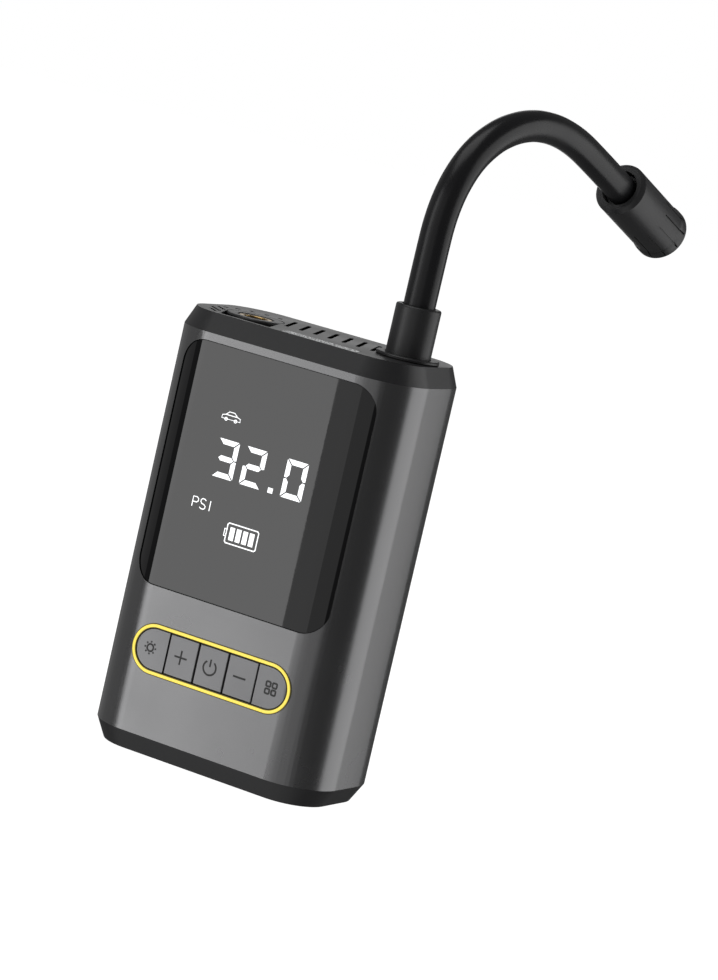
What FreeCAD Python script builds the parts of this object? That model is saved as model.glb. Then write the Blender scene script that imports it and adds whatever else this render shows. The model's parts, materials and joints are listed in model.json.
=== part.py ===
import FreeCAD, Part
import Sketcher
import math
import os
import re

# Portable tire inflator: a pocket air pump in a flat upright case, with a stiff hose on top.
# Millimetres. Origin at the middle of the base, +Z up, the display faces -Y, +X to the right.

doc = FreeCAD.newDocument("TireInflator")
sheet = doc.addObject("Spreadsheet::Sheet", "Sizes")

sizes = {
    # case
    "caseWidth": 80.0,
    "caseDepth": 44.6,
    "caseHeight": 130.0,
    "cornerRadius": 15.6,
    "caseWall": 2.6,
    "seamPlace": 3.1,
    "topCapHeight": 5.7,
    "topInset": 2.4,
    "bottomCapHeight": 5.8,
    "bottomInset": 3.1,
    "bottomWallExtra": 0.8,
    "capWall": 2.0,
    "lipDepth": 3.0,
    "lipWall": 1.2,
    "fitGap": 0.15,
    # display
    "glassSideMargin": 7.7,
    "glassLow": 49.4,
    "glassTopMargin": 8.1,
    "glassCorner": 7.6,
    "glassThick": 1.3,
    "glassRecess": 0.3,
    "glassLedge": 1.5,
    "digitHalfWidth": 24.0,
    "digitLowMargin": 12.6,
    "digitHighMargin": 11.9,
    # buttons
    "pillTuck": 0.7,
    "pillRadius": 6.85,
    "pillPlace": 31.4,
    "ringWidth": 1.45,
    "ringProud": 0.2,
    "buttonPitch": 10.1,
    "buttonGap": 0.15,
    "buttonTravel": 0.6,
    "buttonDepth": 2.2,
    "switchSize": 4.2,
    "switchThick": 1.5,
    "switchClear": 0.1,
    # front board
    "boardSideMargin": 3.3,
    "boardLow": 18.5,
    "boardTopMargin": 3.9,
    "boardThick": 1.2,
    "postRadius": 2.2,
    "postMargin": 3.0,
    "postLowMargin": 2.5,
    "postHighMargin": 4.9,
    "smallScrewRadius": 0.9,
    "smallHeadRadius": 1.8,
    "smallHeadThick": 0.9,
    "smallScrewReach": 1.8,
    # battery
    "cellRadius": 9.2,
    "cellLength": 65.2,
    "cellY": 5.0,
    "cellGap": 0.3,
    "trayWall": 1.7,
    "trayHalfLength": 31.0,
    "trayShelf": 3.0,
    "trayClear": 0.1,
    "stripThick": 0.2,
    "stripWidth": 6.0,
    # motor and gears
    "motorRadius": 13.8,
    "motorLength": 38.0,
    "motorGap": 0.6,
    "pumpY": 2.0,
    "motorBossRadius": 5.0,
    "shaftRadius": 1.15,
    "shaftDepth": 24.0,
    "shaftReach": 9.0,
    "plateThick": 1.6,
    "plateWidth": 24.0,
    "plateMargin": 2.0,
    "toothSize": 0.6,
    "pinionTeeth": 10,
    "gearTeeth": 50,
    "meshBacklash": 0.1,
    "toothRoot": 1.2,
    "toothTip": 0.8,
    "toothRootShare": 0.30,
    "toothTipShare": 0.12,
    "gearLift": 0.8,
    "gearThick": 5.0,
    "axleRadius": 2.0,
    "runClear": 0.05,
    "crankRadius": 5.0,
    "pinRadius": 1.8,
    "pivotGap": 0.3,
    # pump
    "rodLength": 25.0,
    "rodThick": 4.0,
    "rodEyeRadius": 4.2,
    "boreRadius": 8.0,
    "cylinderRadius": 10.0,
    "cylinderSkirt": 1.6,
    "cylinderEnd": 1.5,
    "portRadius": 1.2,
    "sealThick": 2.4,
    "pistonPlate": 1.2,
    "pistonPlateGap": 1.2,
    "headLength": 5.5,
    "headHalfWidth": 9.0,
    "valveRadius": 2.9,
    "valveThick": 0.8,
    "valveChamber": 3.0,
    "airTubeRadius": 2.2,
    "airBendLow": 0.4,
    "airBendHigh": 0.65,
    "sensorRadius": 2.6,
    "sensorInset": 3.2,
    "sensorHeight": 4.5,
    # main board and charging socket
    "mainHalfWidth": 26.0,
    "mainLowGap": 0.5,
    "mainTall": 34.0,
    "mainFaceGap": 1.1,
    "usbX": 10.0,
    "usbRise": 16.0,
    "usbWidth": 9.0,
    "usbThick": 3.2,
    "usbDepth": 7.4,
    "usbSink": 0.3,
    "usbWall": 0.4,
    "usbFloor": 1.5,
    "usbRoundShort": 0.001,
    "tongueInset": 1.2,
    "tongueSink": 1.0,
    "tongueHalf": 0.35,
    # top face
    "slotCount": 7,
    "slotX": 1.2,
    "slotY": 3.3,
    "slotPitch": 4.8,
    "slotLength": 17.6,
    "slotWidth": 1.25,
    "slotSlant": 20.0,
    "cornerSlotWidth": 1.0,
    "cornerSlotSlant": 48.0,
    "cutMargin": 1.0,
    "socketMargin": 18.2,
    "socketY": -2.8,
    "socketRadius": 8.6,
    "socketDepth": 10.0,
    "insertRadius": 5.1,
    "insertBore": 3.5,
    "insertLength": 8.0,
    "insertSink": 0.2,
    "bayDepth": 3.2,
    "bayFloor": 1.2,
    "bayFrontMargin": 3.9,
    "bayBackReach": 1.8,
    "bayLeftReach": 7.2,
    "bayLeftDrop": 5.2,
    "bayFrontLeftReach": 3.0,
    "bayFrontRightReach": 13.8,
    "bayRightReach": 7.8,
    "bayWall": 0.9,
    "bayScreenGap": 1.6,
    "holeCount": 5,
    "holeFirstAngle": 168,
    "holeAngleStep": 21,
    "holeCircle": 12.2,
    "holeRadius": 0.85,
    "lensLeft": -4.2,
    "lensRight": 20.4,
    "lensFrontMargin": 3.6,
    "lensDepth": 4.1,
    "lensThick": 2.6,
    "lensGap": 0.1,
    "ledThick": 1.0,
    "ledCount": 5,
    "ledHalfLength": 1.4,
    "ledHalfWidth": 1.0,
    "screenThick": 0.4,
    "screenEdge": 0.4,
    "screenSocketGap": 2.2,
    "screenBezelGap": 0.3,
    # hose
    "hoseMargin": 12.3,
    "hoseY": 0.0,
    "hoseHeading": 83.0,
    "hoseRadius": 4.65,
    "hoseLift": 9.5,
    "bendShare": 0.45,
    "collarRadius": 6.6,
    "collarHeight": 15.4,
    "collarRoot": 4.0,
    "bezelRadius": 9.2,
    "bezelHeight": 1.1,
    "bezelSpigot": 8.0,
    "stemRadius": 2.4,
    "stemRoot": 6.0,
    # chuck on the end of the hose
    "chuckLength": 32.3,
    "chuckRadius": 8.25,
    "chuckFlangeRadius": 8.6,
    "chuckFlange": 2.4,
    "chuckCone": 1.6,
    "chuckNose": 1.2,
    "chuckMouth": 5.7,
    "chuckShoulder": 9.4,
    "chuckCavity": 6.25,
    "hoseInChuck": 7.5,
    "ferruleRadius": 5.4,
    "ferruleStart": 3.0,
    "ferruleEnd": 9.0,
    "swivelRadius": 6.0,
    "swivelThick": 2.1,
    "swivelClear": 0.3,
    "noseRadius": 3.2,
    "noseEnd": 17.0,
    "gasketRadius": 5.4,
    "gasketThick": 2.2,
    "gasketBore": 1.5,
    "nutChamber": 5.8,
    "nutChamberEnd": 20.0,
    "nutBore": 3.85,
    "nutSink": 0.6,
    "pinCoreRadius": 0.9,
    "pinCoreEnd": 19.8,
    "grooveCount": 12,
    "grooveWidth": 0.5,
    "grooveDepth": 0.35,
    "grooveStart": 17.5,
    "grooveEndGap": 0.8,
    # screws in the base
    "baseScrewSideMargin": 16.0,
    "baseScrewMargin": 5.1,
    "baseScrewRadius": 1.0,
    "baseHeadRadius": 1.8,
    "baseHeadThick": 1.0,
    "baseHeadSink": 0.2,
    "baseScrewLength": 9.0,
    "basePostRadius": 2.0,
    "basePostHeight": 12.0,
}
# Places and sizes that follow the ones above
derived = {
    "glassHalfWidth": "caseWidth / 2 - glassSideMargin",
    "glassHigh": "caseHeight - glassTopMargin",
    "digitLow": "glassLow + digitLowMargin",
    "digitHigh": "glassHigh - digitHighMargin",
    "pillHalf": "2 * buttonPitch - pillTuck",
    "boardHalfWidth": "glassHalfWidth - boardSideMargin",
    "boardHigh": "glassHigh - boardTopMargin",
    "postPlace": "boardHalfWidth - postMargin",
    "frontPostLow": "boardLow + postLowMargin",
    "frontPostHigh": "glassLow - postHighMargin",
    "motorX": "caseWall + motorRadius + motorGap - caseWidth / 2",
    "socketX": "socketMargin - caseWidth / 2",
    "bayFront": "bayFrontMargin - caseDepth / 2",
    "bayBack": "socketY + bayBackReach",
    "bayLeft": "socketX - bayLeftReach",
    "bayLeftBack": "socketY - bayLeftDrop",
    "bayFrontLeft": "socketX - bayFrontLeftReach",
    "bayFrontRight": "socketX + bayFrontRightReach",
    "bayRight": "socketX + bayRightReach",
    "mainLow": "capWall + 2 * trayWall + 4 * cellRadius + cellGap + trayShelf + mainLowGap",
    "mainHigh": "mainLow + mainTall",
    "usbZ": "mainLow + usbRise",
    "lensFront": "lensFrontMargin - caseDepth / 2",
    "lensBack": "lensFront + lensDepth",
    "hoseX": "caseWidth / 2 - hoseMargin",
    "hoseStart": "caseHeight + hoseLift",
    "baseScrewX": "caseWidth / 2 - baseScrewSideMargin",
    "baseScrewY": "caseDepth / 2 - baseScrewMargin",
}
aliases = {**sizes, **derived}
for row, alias in enumerate(aliases, start=1):
    sheet.set("A%d" % row, alias)
    sheet.set("B%d" % row, str(sizes[alias]) if alias in sizes else "=" + derived[alias])
    sheet.setAlias("B%d" % row, alias)
doc.recompute()

# The hose leaves the collar upright, arches over and comes down behind the case. Its line lies in
# one upright plane: each point is (distance out from the collar's axis, height above its foot).
hoseRoute = [
    (0.0, 0.0),
    (0.0, 17.0),
    (0.3, 34.5),
    (6.9, 48.1),
    (18.4, 57.1),
    (33.0, 61.7),
    (47.4, 62.0),
    (61.2, 59.3),
    (75.0, 54.2),
    (87.3, 49.4),
    (98.25, 45.1),
]

# Slots in the left front corner of the top face: (x from the socket, y from it, length)
cornerSlots = [
    (-10.5, -2.4, 6.6),
    (-9.2, -7.6, 8.6),
    (-7.6, -11.8, 6.0),
]

# Parts on the main board: (x, z from its lower edge, width, height, depth)
boardParts = [
    (-2.0, 25.0, 7.0, 7.0, 1.0),
    (-1.0, 7.0, 6.0, 8.0, 3.0),
    (18.0, 6.0, 5.0, 4.0, 1.2),
    (20.0, 26.0, 7.0, 7.0, 3.4),
]

# Often used places, as formulas on the sheet
capSeat = "(caseHeight - topCapHeight)"
capUnder = "(caseHeight - capWall)"
frontFace = "(-caseDepth / 2)"
frontInside = "(caseWall - caseDepth / 2)"
rearInside = "(caseDepth / 2 - caseWall)"
boardFront = "(switchThick + switchClear + buttonTravel + buttonDepth - caseDepth / 2)"
trayTop = "(capWall + 2 * trayWall + 4 * cellRadius + cellGap + trayShelf)"
plateLow = "(%s + motorLength)" % trayTop
plateTop = "(%s + plateThick)" % plateLow
gearX = "(motorX + toothSize * (pinionTeeth + gearTeeth) / 2 + meshBacklash)"
gearLow = "(%s + gearLift)" % plateTop
gearTop = "(%s + gearThick)" % gearLow
pumpAxis = "(%s + cylinderRadius)" % plateTop
pinX = "(%s - crankRadius)" % gearX
pistonX = "(%s + rodLength)" % pinX
boreEnd = "(%s + 2 * crankRadius + sealThick / 2 + pivotGap)" % pistonX
cylinderStart = "(%s - sealThick / 2 - cylinderSkirt)" % pistonX
cylinderFar = "(%s + cylinderEnd)" % boreEnd
headFar = "(%s + headLength)" % cylinderFar
mainRear = "(caseDepth / 2 - caseWall - mainFaceGap)"

named = {}


def onSheet(formula):
    def qualified(match):
        word = match.group()
        return "Sizes." + word if word in aliases else word
    return re.sub(r"[A-Za-z]\w*", qualified, str(formula))


def bind(thing, target, formula):
    thing.setExpression(target, onSheet(formula))


def place(thing, x, y, z):
    bind(thing, "Placement.Base.x", x)
    bind(thing, "Placement.Base.y", y)
    bind(thing, "Placement.Base.z", z)
    return thing


def piece(node, thing):
    # the finished sub-part of that name
    thing.Label = node
    named[node] = thing
    return thing


def box(name, x, y, z):
    # each span is (low, high)
    solid = doc.addObject("Part::Box", name)
    bind(solid, "Length", "(%s) - (%s)" % (x[1], x[0]))
    bind(solid, "Width", "(%s) - (%s)" % (y[1], y[0]))
    bind(solid, "Height", "(%s) - (%s)" % (z[1], z[0]))
    return place(solid, x[0], y[0], z[0])


turns = {
    "X": FreeCAD.Rotation(FreeCAD.Vector(0, 1, 0), 90),
    "Y": FreeCAD.Rotation(FreeCAD.Vector(1, 0, 0), -90),
    "Z": FreeCAD.Rotation(),
}


def rod(name, axis, start, radius, length):
    solid = doc.addObject("Part::Cylinder", name)
    bind(solid, "Radius", radius)
    bind(solid, "Height", length)
    solid.Placement.Rotation = turns[axis]
    return place(solid, *start)


def cone(name, axis, start, firstRadius, lastRadius, length):
    solid = doc.addObject("Part::Cone", name)
    bind(solid, "Radius1", firstRadius)
    bind(solid, "Radius2", lastRadius)
    bind(solid, "Height", length)
    solid.Placement.Rotation = turns[axis]
    return place(solid, *start)


def fuse(name, *parts):
    solid = doc.addObject("Part::MultiFuse", name)
    solid.Shapes = list(parts)
    solid.Refine = True
    return solid


def group(name, *parts):
    # separate solids that share one node
    solid = doc.addObject("Part::Compound", name)
    solid.Links = list(parts)
    return solid


def cut(name, base, *tools):
    solid = doc.addObject("Part::Cut", name)
    solid.Base = base
    solid.Tool = tools[0] if len(tools) == 1 else fuse(name + "Tools", *tools)
    solid.Refine = True
    return solid


def common(name, base, tool):
    solid = doc.addObject("Part::Common", name)
    solid.Base = base
    solid.Tool = tool
    solid.Refine = True
    return solid


def sketchOn(body, name, height):
    sketch = body.newObject("Sketcher::SketchObject", name)
    plane = [item for item in body.Origin.OriginFeatures if item.Role == "XY_Plane"][0]
    sketch.AttachmentSupport = [(plane, "")]
    sketch.MapMode = "FlatFace"
    bind(sketch, "AttachmentOffset.Base.z", height)
    return sketch


def outline(sketch, insets):
    # the case's rounded rectangle, drawn in from its sides by the named sizes added up
    inset = sum(sizes[alias] for alias in insets)
    less = "".join(" - " + alias for alias in insets)
    halfWidth = sizes["caseWidth"] / 2 - inset
    halfDepth = sizes["caseDepth"] / 2 - inset
    radius = sizes["cornerRadius"] - inset
    corners = [(1, -1, -90), (1, 1, 0), (-1, 1, 90), (-1, -1, 180)]
    ends = []
    for signX, signY, start in corners:
        centre = FreeCAD.Vector(signX * (halfWidth - radius), signY * (halfDepth - radius), 0)
        circle = Part.Circle(centre, FreeCAD.Vector(0, 0, 1), radius)
        arc = Part.ArcOfCircle(circle, math.radians(start), math.radians(start + 90))
        sketch.addGeometry(arc, False)
        ends.append((arc.StartPoint, arc.EndPoint))
    for index in range(4):
        side = Part.LineSegment(ends[index][1], ends[(index + 1) % 4][0])
        sketch.addGeometry(side, False)
    for index in range(4):
        sketch.addConstraint(Sketcher.Constraint("Tangent", index, 2, 4 + index, 1))
        sketch.addConstraint(Sketcher.Constraint("Tangent", 4 + index, 2, (index + 1) % 4, 1))
    for index in (4, 6):
        sketch.addConstraint(Sketcher.Constraint("Vertical", index))
    for index in (5, 7):
        sketch.addConstraint(Sketcher.Constraint("Horizontal", index))
    for index in (1, 2, 3):
        sketch.addConstraint(Sketcher.Constraint("Equal", 0, index))
    radial = sketch.addConstraint(Sketcher.Constraint("Radius", 0, radius))
    right = sketch.addConstraint(Sketcher.Constraint("DistanceX", 4, 1, halfWidth))
    back = sketch.addConstraint(Sketcher.Constraint("DistanceY", 5, 1, halfDepth))
    left = sketch.addConstraint(Sketcher.Constraint("DistanceX", 6, 1, -halfWidth))
    front = sketch.addConstraint(Sketcher.Constraint("DistanceY", 7, 1, -halfDepth))
    bind(sketch, "Constraints[%d]" % radial, "cornerRadius" + less)
    bind(sketch, "Constraints[%d]" % right, "caseWidth / 2" + less)
    bind(sketch, "Constraints[%d]" % back, "caseDepth / 2" + less)
    bind(sketch, "Constraints[%d]" % left, "-(caseWidth / 2%s)" % less)
    bind(sketch, "Constraints[%d]" % front, "-(caseDepth / 2%s)" % less)


def prism(name, low, high, lowInsets=(), highInsets=None):
    # an upright block with the case's outline; with two outlines its sides slope
    body = doc.addObject("PartDesign::Body", name)
    lower = sketchOn(body, name + "Low", low)
    outline(lower, lowInsets)
    if highInsets is None:
        pad = body.newObject("PartDesign::Pad", name + "Pad")
        pad.Profile = lower
        bind(pad, "Length", "(%s) - (%s)" % (high, low))
        return body
    upper = sketchOn(body, name + "High", high)
    outline(upper, highInsets)
    loft = body.newObject("PartDesign::AdditiveLoft", name + "Loft")
    loft.Profile = lower
    loft.Sections = [upper]
    loft.Ruled = True
    return body


def plate(name, x, z, y, radius):
    # a rounded rectangle seen from the front, as deep as y says
    low = "(%s) + (%s)"
    high = "(%s) - (%s)"
    innerX = (low % (x[0], radius), high % (x[1], radius))
    innerZ = (low % (z[0], radius), high % (z[1], radius))
    parts = [box(name + "Wide", x, y, innerZ), box(name + "Tall", innerX, y, z)]
    depth = "(%s) - (%s)" % (y[1], y[0])
    for indexX in (0, 1):
        for indexZ in (0, 1):
            corner = (innerX[indexX], y[0], innerZ[indexZ])
            parts.append(rod("%sCorner%d%d" % (name, indexX, indexZ), "Y", corner, radius, depth))
    return fuse(name, *parts)


def pill(name, radius, y):
    # the button field: a long rounded bar seen from the front
    span = ("-pillHalf", "pillHalf")
    tall = ("pillPlace - (%s)" % radius, "pillPlace + (%s)" % radius)
    depth = "(%s) - (%s)" % (y[1], y[0])
    left = rod(name + "Left", "Y", (span[0], y[0], "pillPlace"), radius, depth)
    right = rod(name + "Right", "Y", (span[1], y[0], "pillPlace"), radius, depth)
    return fuse(name, box(name + "Middle", span, y, tall), left, right)


def tube(name, axis, start, outer, inner, length):
    return cut(name, rod(name + "Outer", axis, start, outer, length),
               rod(name + "Inner", axis, start, inner, length))


def screwUp(name, x, y, z, radius, length, headRadius, headThick):
    head = rod(name + "Head", "Z", (x, y, z), headRadius, headThick)
    return fuse(name, head, rod(name + "Shank", "Z", (x, y, z), radius, length))


def screwAlongY(name, x, y, z, reach):
    # head on the side of +Y, shank towards -Y
    head = rod(name + "Head", "Y", (x, y, z), "smallHeadRadius", "smallHeadThick")
    shankStart = "(%s) - (%s)" % (y, reach)
    shank = rod(name + "Shank", "Y", (x, shankStart, z), "smallScrewRadius", reach)
    return fuse(name, head, shank)


def size(alias):
    return float(sheet.get(alias))


# --- case shells -----------------------------------------------------------------------------
def caseBlock(name, *insets):
    return prism(name, "bottomCapHeight", capSeat, insets)


everywhere = ("-caseWidth", "caseWidth")
allHeights = ("-caseHeight", "2 * caseHeight")
skin = caseBlock("caseSkin")
caseTube = cut("caseTube", skin, caseBlock("caseHollow", "caseWall"))

pillOpening = pill("pillOpening", "pillRadius + ringWidth / 2", ("-caseDepth", "0"))
windowSpanX = ("-glassHalfWidth - fitGap", "glassHalfWidth + fitGap")
windowSpanZ = ("glassLow - fitGap", "glassHigh + fitGap")
seatBlock = plate("glassSeatBlock", windowSpanX, windowSpanZ, ("-caseDepth", "0"),
                  "glassCorner + fitGap")
glassSeat = cut("glassSeat", seatBlock, caseBlock("glassFloor", "glassRecess", "glassThick"))
windowX = ("glassLedge - glassHalfWidth", "glassHalfWidth - glassLedge")
windowZ = ("glassLow + glassLedge", "glassHigh - glassLedge")
glassWindow = plate("glassWindow", windowX, windowZ, ("-caseDepth", "0"),
                    "glassCorner - glassLedge")


def basePost(name, signX, signY):
    # a screw post in the case's corner, open from below
    foot = ("%d * baseScrewX" % signX, "%d * baseScrewY" % signY, "bottomCapHeight")
    post = rod(name, "Z", foot, "basePostRadius", "basePostHeight")
    bore = rod(name + "Bore", "Z", foot, "baseScrewRadius", "baseScrewLength")
    return common(name + "InCase", post, skin), bore


frontHalf = box("frontHalf", everywhere, ("-caseDepth", "seamPlace"), allHeights)
frontPosts = []
frontBores = []
for signX in (-1, 1):
    post, bore = basePost("frontBasePost%d" % (signX + 1), signX, -1)
    frontPosts.append(post)
    frontBores.append(bore)
    for alias in ("frontPostLow", "frontPostHigh"):
        name = "%s%d" % (alias, signX + 1)
        postX = "%d * postPlace" % signX
        reach = "%s - %s" % (boardFront, frontInside)
        root = "%s - caseWall / 2" % frontInside
        frontPosts.append(rod(name, "Y", (postX, root, alias), "postRadius",
                              reach + " + caseWall / 2"))
        boreStart = "%s - smallScrewReach" % boardFront
        frontBores.append(rod(name + "Bore", "Y", (postX, boreStart, alias), "smallScrewRadius",
                              "smallScrewReach"))
frontWall = common("frontWall", caseTube, frontHalf)
frontBlank = fuse("frontBlank", frontWall, *frontPosts)
piece("front_shell", cut("frontShell", frontBlank, glassSeat, glassWindow, pillOpening,
                         *frontBores))

rearHalf = box("rearHalf", everywhere, ("seamPlace", "caseDepth"), allHeights)
rearPosts = []
rearBores = []
for signX in (-1, 1):
    post, bore = basePost("rearBasePost%d" % (signX + 1), signX, 1)
    rearPosts.append(post)
    rearBores.append(bore)
    for alias, step in (("mainLow", "postRadius"), ("mainHigh", "-postRadius")):
        name = "rear%s%d" % (alias, signX + 1)
        postX = "%d * (mainHalfWidth - postRadius)" % signX
        postZ = "%s + %s" % (alias, step)
        rearPosts.append(rod(name, "Y", (postX, mainRear, postZ), "postRadius",
                             "mainFaceGap + caseWall / 2"))
        rearBores.append(rod(name + "Bore", "Y", (postX, mainRear, postZ), "smallScrewRadius",
                             "smallScrewReach"))
rearWall = common("rearWall", caseTube, rearHalf)
rearBlank = fuse("rearBlank", rearWall, *rearPosts)
usbSpanX = ("usbX - usbWidth / 2 - fitGap", "usbX + usbWidth / 2 + fitGap")
usbSpanZ = ("usbZ - usbThick / 2 - fitGap", "usbZ + usbThick / 2 + fitGap")
usbOpening = plate("usbOpening", usbSpanX, usbSpanZ, ("0", "caseDepth"),
                   "usbThick / 2 + fitGap - usbRoundShort")
piece("rear_shell", cut("rearShell", rearBlank, usbOpening, *rearBores))


# --- end caps --------------------------------------------------------------------------------
capBlock = prism("topCapBlock", capSeat, "caseHeight", (), ("topInset",))
capHollow = prism("topCapHollow", capSeat, capUnder, ("caseWall",))
capLip = cut("capLip", prism("capLipOuter", capSeat + " - lipDepth", capSeat,
                             ("caseWall", "fitGap")),
             prism("capLipInner", capSeat + " - lipDepth", capSeat,
                   ("caseWall", "fitGap", "lipWall")))
capShell = cut("capShell", capBlock, capHollow)
lipBridge = cut("lipBridge", prism("lipBridgeOuter", capSeat, capUnder, ("caseWall",)),
                prism("lipBridgeInner", capSeat, capUnder, ("caseWall", "fitGap", "lipWall")))


def bayBody(name, low, high, grow):
    # the bay in front of the socket, a four-sided block
    body = doc.addObject("PartDesign::Body", name)
    sketch = sketchOn(body, name + "Sketch", low)
    corners = [
        ("bayLeft", "bayLeftBack", -1, -1),
        ("bayFrontLeft", "bayFront", -1, -1),
        ("bayFrontRight", "bayFront", 1, -1),
        ("bayRight", "bayBack", 1, 1),
    ]
    points = []
    wider = size(grow) if grow in sizes else 0
    for aliasX, aliasY, outX, outY in corners:
        points.append(FreeCAD.Vector(size(aliasX) + outX * wider, size(aliasY) + outY * wider, 0))
    for index in range(4):
        sketch.addGeometry(Part.LineSegment(points[index], points[(index + 1) % 4]), False)
    for index in range(4):
        sketch.addConstraint(Sketcher.Constraint("Coincident", index, 2, (index + 1) % 4, 1))
    for index, (aliasX, aliasY, outX, outY) in enumerate(corners):
        across = Sketcher.Constraint("DistanceX", index, 1, points[index].x)
        along = Sketcher.Constraint("DistanceY", index, 1, points[index].y)
        bind(sketch, "Constraints[%d]" % sketch.addConstraint(across),
             "%s + %d * %s" % (aliasX, outX, grow))
        bind(sketch, "Constraints[%d]" % sketch.addConstraint(along),
             "%s + %d * %s" % (aliasY, outY, grow))
    pad = body.newObject("PartDesign::Pad", name + "Pad")
    pad.Profile = sketch
    bind(pad, "Length", "(%s) - (%s)" % (high, low))
    return body


bayBottom = "(caseHeight - bayDepth)"
bayBox = bayBody("bayBox", bayBottom + " - bayFloor", capUnder, "bayWall")
bayCut = bayBody("bayCut", bayBottom, "caseHeight + capWall", "0")
bayBoxInCap = common("bayBoxInCap", bayBox, capBlock)
socketHole = rod("socketHole", "Z", ("socketX", "socketY", capSeat), "socketRadius",
                 "topCapHeight + capWall")
bezelHole = rod("bezelHole", "Z", ("hoseX", "hoseY", capSeat), "bezelSpigot",
                "topCapHeight + capWall")
lensSpanX = ("lensLeft", "lensRight")
lensSpanY = ("lensFront", "lensBack")
lensHole = box("lensHole", ("lensLeft - lensGap", "lensRight + lensGap"),
               ("lensFront - lensGap", "lensBack + lensGap"),
               (capUnder + " - capWall", "caseHeight + capWall"))


def slantedSlot(name, x, y, length, width, slant):
    # an oblong through the cap's top wall; slant turns its far end towards -X
    half = "(%s) / 2" % length
    reach = "((%s) / 2 - (%s) / 2)" % (length, width)
    cornerX = "%s + %s * sin(%s) - (%s) / 2 * cos(%s)" % (x, reach, slant, width, slant)
    cornerY = "%s - %s * cos(%s) - (%s) / 2 * sin(%s)" % (y, reach, slant, width, slant)
    bar = doc.addObject("Part::Box", name + "Bar")
    bind(bar, "Length", width)
    bind(bar, "Width", "2 * " + reach)
    bind(bar, "Height", "2 * capWall + cutMargin")
    bar.Placement.Rotation = FreeCAD.Rotation(FreeCAD.Vector(0, 0, 1), size("slotSlant"))
    bind(bar, "Placement.Rotation.Angle", slant)
    low = "caseHeight - capWall - cutMargin"
    place(bar, cornerX, cornerY, low)
    parts = [bar]
    for sign in (-1, 1):
        endX = "%s - %d * %s * sin(%s)" % (x, sign, reach, slant)
        endY = "%s + %d * %s * cos(%s)" % (y, sign, reach, slant)
        parts.append(rod("%sEnd%d" % (name, sign + 1), "Z", (endX, endY, low),
                         "(%s) / 2" % width, "2 * capWall + cutMargin"))
    return fuse(name, *parts)


slots = []
for index in range(int(size("slotCount"))):
    slotX = "slotX + %g * slotPitch" % (index - (size("slotCount") - 1) / 2)
    slots.append(slantedSlot("slot%d" % index, slotX, "slotY", "slotLength", "slotWidth",
                             "slotSlant"))
for index, (fromX, fromY, length) in enumerate(cornerSlots):
    slots.append(slantedSlot("cornerSlot%d" % index, "(socketX + %g)" % fromX,
                             "(socketY + %g)" % fromY, "%g" % length, "cornerSlotWidth",
                             "cornerSlotSlant"))
holes = []
for index in range(int(size("holeCount"))):
    angle = "(holeFirstAngle - %d * holeAngleStep)" % index
    holeX = "socketX + holeCircle * cos(%s)" % angle
    holeY = "socketY + holeCircle * sin(%s)" % angle
    holes.append(rod("hole%d" % index, "Z", (holeX, holeY, "caseHeight - capWall - cutMargin"),
                     "holeRadius", "2 * capWall + cutMargin"))
capBlank = fuse("topCapBlank", capShell, capLip, lipBridge, bayBoxInCap)
piece("top_cap", cut("topCap", capBlank, bayCut, socketHole, bezelHole, lensHole, *slots, *holes))

baseBlock = prism("baseBlock", "0", "bottomCapHeight", ("bottomInset",), ())
baseHollow = prism("baseHollow", "capWall", "bottomCapHeight", ("caseWall", "bottomWallExtra"))
baseHoles = []
basePads = []
baseScrews = []
for signX in (-1, 1):
    for signY in (-1, 1):
        tag = "%d%d" % (signX + 1, signY + 1)
        spotX = "%d * baseScrewX" % signX
        spotY = "%d * baseScrewY" % signY
        pad = rod("basePad" + tag, "Z", (spotX, spotY, "0"), "basePostRadius", "bottomCapHeight")
        basePads.append(common("basePadIn" + tag, pad, baseBlock))
        baseHoles.append(rod("baseHead" + tag, "Z", (spotX, spotY, "0"), "baseHeadRadius",
                             "baseHeadSink + baseHeadThick"))
        baseHoles.append(rod("baseShank" + tag, "Z", (spotX, spotY, "0"), "baseScrewRadius",
                             "bottomCapHeight"))
        screw = screwUp("baseScrew" + tag, spotX, spotY, "baseHeadSink", "baseScrewRadius",
                        "baseScrewLength", "baseHeadRadius", "baseHeadThick")
        baseScrews.append(screw)
baseBlank = fuse("baseBlank", cut("baseShell", baseBlock, baseHollow), *basePads)
piece("bottom_cap", cut("bottomCap", baseBlank, *baseHoles))
piece("base_screws", group("baseScrews", *baseScrews))


# --- display, front board and buttons -----------------------------------------------------------
glassPlate = plate("glassPlate", ("-glassHalfWidth", "glassHalfWidth"), ("glassLow", "glassHigh"),
                   ("-caseDepth", "0"), "glassCorner")
glassSkin = cut("glassSkin", caseBlock("glassOutside", "glassRecess"),
                caseBlock("glassInside", "glassRecess", "glassThick"))
piece("display_glass", common("displayGlass", glassSkin, glassPlate))

boardSpanY = (boardFront, boardFront + " + boardThick")
boardBlank = box("boardBlank", ("-boardHalfWidth", "boardHalfWidth"), boardSpanY,
                 ("boardLow", "boardHigh"))
boardHoles = []
boardScrews = []
for signX in (-1, 1):
    for alias in ("frontPostLow", "frontPostHigh"):
        tag = "%s%d" % (alias, signX + 1)
        spotX = "%d * postPlace" % signX
        boardHoles.append(rod("boardHole" + tag, "Y", (spotX, boardFront, alias),
                              "smallScrewRadius", "boardThick"))
        boardScrews.append(screwAlongY("boardScrew" + tag, spotX, boardSpanY[1], alias,
                                       "smallScrewReach + boardThick"))
piece("front_board", cut("frontBoard", boardBlank, *boardHoles))
piece("front_board_screws", group("frontBoardScrews", *boardScrews))

piece("digit_block", box("digitBlock", ("-digitHalfWidth", "digitHalfWidth"),
                         (frontFace + " + glassRecess + glassThick", boardFront),
                         ("digitLow", "digitHigh")))

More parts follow.
